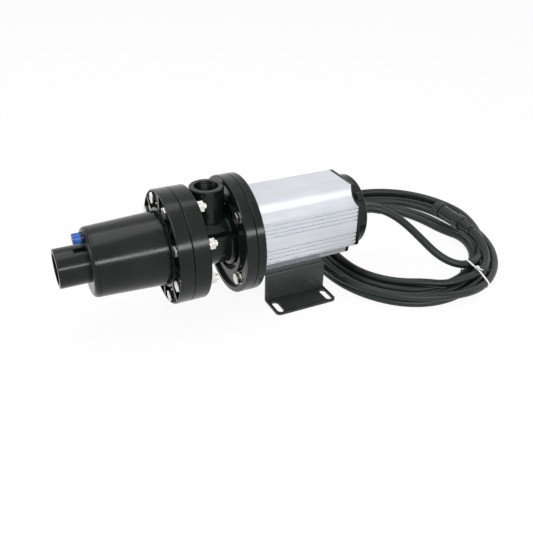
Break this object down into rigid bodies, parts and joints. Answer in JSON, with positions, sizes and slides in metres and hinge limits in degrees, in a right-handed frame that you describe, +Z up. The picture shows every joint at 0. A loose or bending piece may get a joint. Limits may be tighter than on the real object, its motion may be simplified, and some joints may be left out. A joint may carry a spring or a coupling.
{
  "type": "solar surface pump",
  "caption": "Horizontal solar surface pump: helical rotor pump end bolted to a finned square motor on a slotted foot, with a coiled cable.",
  "frame": {"origin": "on the floor plane, midway between the front pair of foot slots", "axes": "+X along the shaft towards the motor, +Z up along the suction port, +Y to the far side of the picture"},
  "size_m": [0.6605, 0.3388, 0.168],
  "materials": {
    "black_plastic": "moulded black plastic, satin with glossy draft faces",
    "blue_plastic": "moulded blue plastic",
    "aluminium": "clear anodised extrusion",
    "black_paint": "black powder coat on folded steel",
    "zinc_steel": "bright zinc",
    "steel": "ground steel",
    "chrome": "hard chrome",
    "laminations": "stacked electrical steel",
    "magnets": "plated magnet",
    "copper": "enamelled copper wire",
    "carbon": "seal carbon",
    "ceramic": "lapped ceramic",
    "seal_rubber": "black rubber",
    "grey_plastic": "dark grey polyamide",
    "cable_rubber": "black rubber sheath",
    "pale_plastic": "natural polyamide"
  },
  "bodies": {
    "pump_body": {"discharge_chamber": "black_plastic", "stator_tube": "steel", "stator_rubber": "seal_rubber", "suction_housing": "black_plastic", "flange_gasket": "seal_rubber", "flange_bolts": "zinc_steel", "flange_washers": "zinc_steel", "flange_nuts": "zinc_steel", "adapter_bolts": "zinc_steel", "adapter_washers": "zinc_steel", "seal_seat": "ceramic", "motor_cover": "black_plastic", "front_cover_screws": "zinc_steel", "motor_housing": "aluminium", "front_bearing_outer": "steel", "rear_bearing_outer": "steel", "stator_core": "laminations", "stator_windings": "copper", "rear_end_plate": "black_plastic", "preload_spring": "steel", "rear_cover_screws": "zinc_steel", "terminal_cover": "black_plastic", "lug_screws": "zinc_steel", "terminal_block": "pale_plastic", "mounting_bracket": "black_paint", "bracket_screws": "zinc_steel", "gland_body": "grey_plastic", "gland_locknut": "grey_plastic", "gland_seal": "seal_rubber", "gland_nut": "grey_plastic", "power_cable": "cable_rubber", "cable_coil": "cable_rubber", "cable_connector": "cable_rubber", "cable_tie": "pale_plastic"},
    "drive_shaft": {"motor_shaft": "steel", "rotor_core": "laminations", "rotor_magnets": "magnets", "front_bearing_inner": "steel", "rear_bearing_inner": "steel", "seal_ring": "carbon", "seal_spring": "steel", "shaft_coupling": "steel"},
    "rod": {"connecting_rod": "steel"},
    "rotor": {"helical_rotor": "chrome"},
    "vent_plug": {"vent_plug": "blue_plastic", "vent_seal": "seal_rubber"}
  },
  "joints": [
    {"name": "shaft_turn", "type": "hinge", "parent": "pump_body", "child": "drive_shaft", "pos_m": [0, 0, 0.092], "axis": [1, 0, 0], "continuous": true},
    {"name": "rod_orbit", "type": "hinge", "parent": "pump_body", "child": "rod", "pos_m": [0, 0, 0.092], "axis": [1, 0, 0], "continuous": true},
    {"name": "rotor_turn", "type": "hinge", "parent": "rod", "child": "rotor", "pos_m": [-0.16, 0, 0.096], "axis": [1, 0, 0], "continuous": true},
    {"name": "vent_plug_turn", "type": "hinge", "parent": "pump_body", "child": "vent_plug", "pos_m": [-0.23, -0.002, 0.127], "axis": [1, 0, 0], "range_deg": [0, 180]}
  ],
  "couplings": [
    {"joint": "rod_orbit", "follows": "shaft_turn", "ratio": -1},
    {"joint": "rotor_turn", "follows": "shaft_turn", "ratio": 2}
  ]
}
